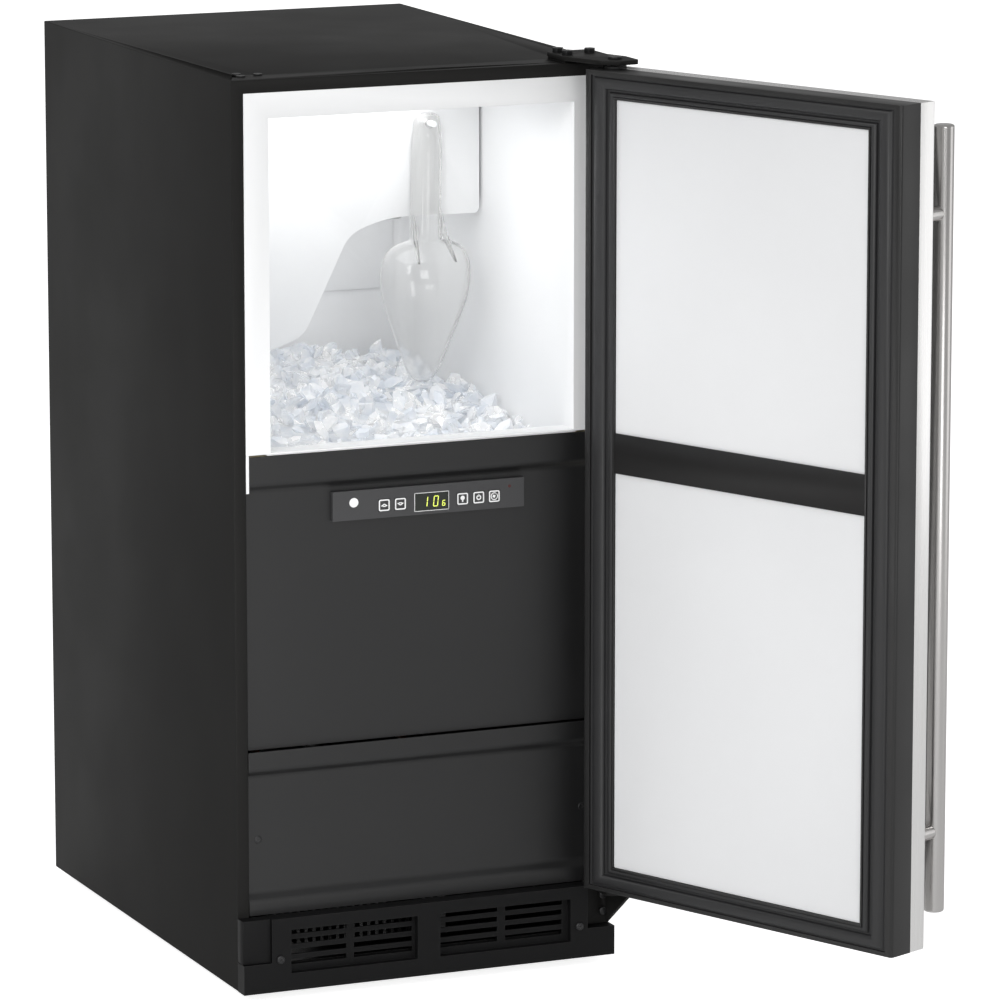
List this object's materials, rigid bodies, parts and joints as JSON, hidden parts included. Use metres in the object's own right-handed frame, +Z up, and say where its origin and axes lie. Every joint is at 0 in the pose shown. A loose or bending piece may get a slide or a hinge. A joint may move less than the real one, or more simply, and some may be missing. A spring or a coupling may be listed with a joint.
{
  "type": "undercounter ice maker",
  "caption": "Slim undercounter ice maker with its hinged door standing open, lit white ice bin, hanging scoop, control bar and kick grille",
  "frame": {"origin": "on the floor, at the centre of the cabinet's footprint", "axes": "X to the viewer's right across the front, Y from the front to the back, Z up"},
  "size_m": [0.5731, 0.8962, 0.8777],
  "materials": {
    "coated_steel": "satin textured powder coat",
    "zinc_steel": "zinc plated",
    "stainless": "brushed",
    "white_plastic": "moulded, satin",
    "black_plastic": "fine texture",
    "grey_plastic": "satin",
    "clear_plastic": "frosted clear",
    "display": "tinted window",
    "seal_rubber": "soft",
    "black_hose": "soft",
    "aluminium": "plain",
    "cast_aluminium": "cast",
    "copper": "drawn copper",
    "black_enamel": "gloss",
    "ice": "cracked, cloudy",
    "foam": "rigid foam",
    "board": "circuit board"
  },
  "bodies": {
    "cabinet": {"front_panel_screws": "zinc_steel", "hinge_screws": "zinc_steel", "hinge_hole_plugs": "black_plastic", "outer_cabinet": "coated_steel", "base_pan": "black_enamel", "rear_access_cover": "zinc_steel", "rear_panel": "zinc_steel", "ice_bin_liner": "white_plastic", "evaporator_coil": "aluminium", "bin_fan_motor": "black_plastic", "evaporator_cover": "white_plastic", "ice_mould": "cast_aluminium", "ice_maker_gearbox": "white_plastic", "water_fill_cup": "white_plastic", "ice_maker_shroud": "white_plastic", "bin_light": "clear_plastic", "ice_heap": "ice", "foam_insulation": "foam", "upper_front_panel": "coated_steel", "lower_access_panel": "coated_steel", "control_bezel": "grey_plastic", "display_window": "display", "alert_light": "display", "control_board": "board", "kick_grille": "black_plastic", "corner_filler": "black_plastic", "hinge_pins": "stainless", "top_hinge_plate": "coated_steel", "bottom_hinge_bracket": "coated_steel", "compressor": "black_enamel", "condenser": "black_enamel", "condenser_fan_frame": "black_enamel", "condenser_fan_motor": "black_enamel", "refrigerant_pipes": "copper", "water_valve": "white_plastic", "power_inlet": "black_plastic", "drain_hose": "black_hose"},
    "door": {"door_skin": "stainless", "door_inner_frame": "black_plastic", "door_gasket": "seal_rubber", "door_bushes": "black_plastic", "door_foam": "foam", "door_white_panels": "white_plastic", "door_middle_bar": "black_plastic", "handle_bar": "stainless", "handle_posts": "stainless"},
    "scoop": {"scoop": "clear_plastic"},
    "up_button": {"up_button": "grey_plastic"},
    "down_button": {"down_button": "grey_plastic"},
    "light_button": {"light_button": "grey_plastic"},
    "power_button": {"power_button": "grey_plastic"},
    "ice_button": {"ice_button": "grey_plastic"},
    "rake": {"rake_shaft": "black_plastic"},
    "level_arm": {"ice_level_arm": "stainless"},
    "bin_fan": {"bin_fan_blade": "black_plastic"},
    "condenser_fan": {"condenser_fan_blade": "black_plastic"},
    "leg_front_left": {"leveling_leg_front_left": "black_plastic"},
    "leg_rear_left": {"leveling_leg_rear_left": "black_plastic"},
    "leg_front_right": {"leveling_leg_front_right": "black_plastic"},
    "leg_rear_right": {"leveling_leg_rear_right": "black_plastic"}
  },
  "joints": [
    {"name": "door_swing", "type": "hinge", "parent": "cabinet", "child": "door", "pos_m": [0.17963, -0.28979, 0.47], "axis": [0, 0, 1], "range_deg": [-113.8, 6.2]},
    {"name": "scoop_lift", "type": "slide", "parent": "cabinet", "child": "scoop", "axis": [0, -1, 0], "range_m": [0, 0.25]},
    {"name": "up_button_press", "type": "slide", "parent": "cabinet", "child": "up_button", "axis": [0, 1, 0], "range_m": [0, 0.0008], "stiffness_N_per_m": 1500},
    {"name": "down_button_press", "type": "slide", "parent": "cabinet", "child": "down_button", "axis": [0, 1, 0], "range_m": [0, 0.0008], "stiffness_N_per_m": 1500},
    {"name": "light_button_press", "type": "slide", "parent": "cabinet", "child": "light_button", "axis": [0, 1, 0], "range_m": [0, 0.0008], "stiffness_N_per_m": 1500},
    {"name": "power_button_press", "type": "slide", "parent": "cabinet", "child": "power_button", "axis": [0, 1, 0], "range_m": [0, 0.0008], "stiffness_N_per_m": 1500},
    {"name": "ice_button_press", "type": "slide", "parent": "cabinet", "child": "ice_button", "axis": [0, 1, 0], "range_m": [0, 0.0008], "stiffness_N_per_m": 1500},
    {"name": "rake_turn", "type": "hinge", "parent": "cabinet", "child": "rake", "pos_m": [0, 0.065, 0.785], "axis": [1, 0, 0], "continuous": true},
    {"name": "level_arm_swing", "type": "hinge", "parent": "cabinet", "child": "level_arm", "pos_m": [0, 0.008, 0.755], "axis": [1, 0, 0], "range_deg": [-20, 0]},
    {"name": "bin_fan_spin", "type": "hinge", "parent": "cabinet", "child": "bin_fan", "pos_m": [0.075, 0.142, 0.7], "axis": [0, 1, 0], "continuous": true},
    {"name": "condenser_fan_spin", "type": "hinge", "parent": "cabinet", "child": "condenser_fan", "pos_m": [-0.07, -0.185, 0.124], "axis": [0, 1, 0], "continuous": true},
    {"name": "leg_front_left_screw", "type": "slide", "parent": "cabinet", "child": "leg_front_left", "axis": [0, 0, -1], "range_m": [0, 0.02]},
    {"name": "leg_front_right_screw", "type": "slide", "parent": "cabinet", "child": "leg_front_right", "axis": [0, 0, -1], "range_m": [0, 0.02]},
    {"name": "leg_rear_left_screw", "type": "slide", "parent": "cabinet", "child": "leg_rear_left", "axis": [0, 0, -1], "range_m": [0, 0.02]},
    {"name": "leg_rear_right_screw", "type": "slide", "parent": "cabinet", "child": "leg_rear_right", "axis": [0, 0, -1], "range_m": [0, 0.02]}
  ]
}
